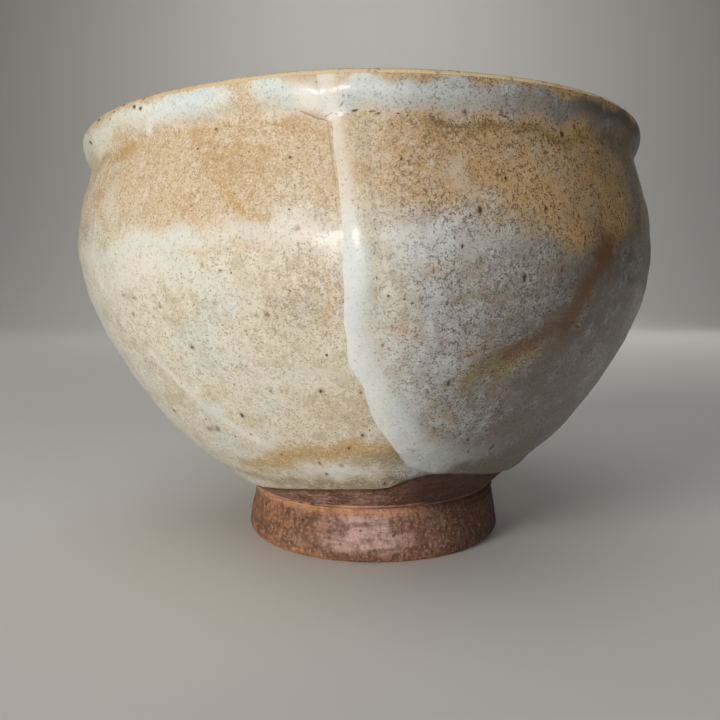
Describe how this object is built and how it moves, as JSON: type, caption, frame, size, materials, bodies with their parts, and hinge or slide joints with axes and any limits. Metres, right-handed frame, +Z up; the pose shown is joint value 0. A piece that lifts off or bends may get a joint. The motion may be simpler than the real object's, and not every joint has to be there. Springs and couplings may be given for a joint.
{
  "type": "matcha bowl",
  "caption": "Round-bellied stoneware tea bowl on a flared foot, with a waisted neck, a thin lip and overlapping dipped glazes.",
  "frame": {"origin": "on the surface the bowl stands on, under the middle of its belly", "axes": "+Z up, -Y towards the face with the overlap of the two glaze dips, +X to the right of someone who looks at that face"},
  "size_m": [0.1254, 0.126, 0.0888],
  "materials": {
    "fired_clay": "rough unglazed iron-rich stoneware",
    "fired_slip": "matt fired slip",
    "liner_glaze": "satin feldspar glaze",
    "pooled_glaze": "glossy pooled glaze",
    "first_dip_glaze": "satin mottled cream glaze",
    "second_dip_glaze": "satin grey-blue glaze with iron specks",
    "rim_dip_glaze": "satin milky glaze"
  },
  "bodies": {
    "root": {"clay_body": "fired_clay", "foot_ring": "fired_clay", "foot_seam": "fired_slip", "inner_glaze": "liner_glaze", "pooled_glaze": "pooled_glaze", "first_dip_glaze": "first_dip_glaze", "second_dip_glaze": "second_dip_glaze", "rim_dip_glaze": "rim_dip_glaze"}
  },
  "joints": []
}
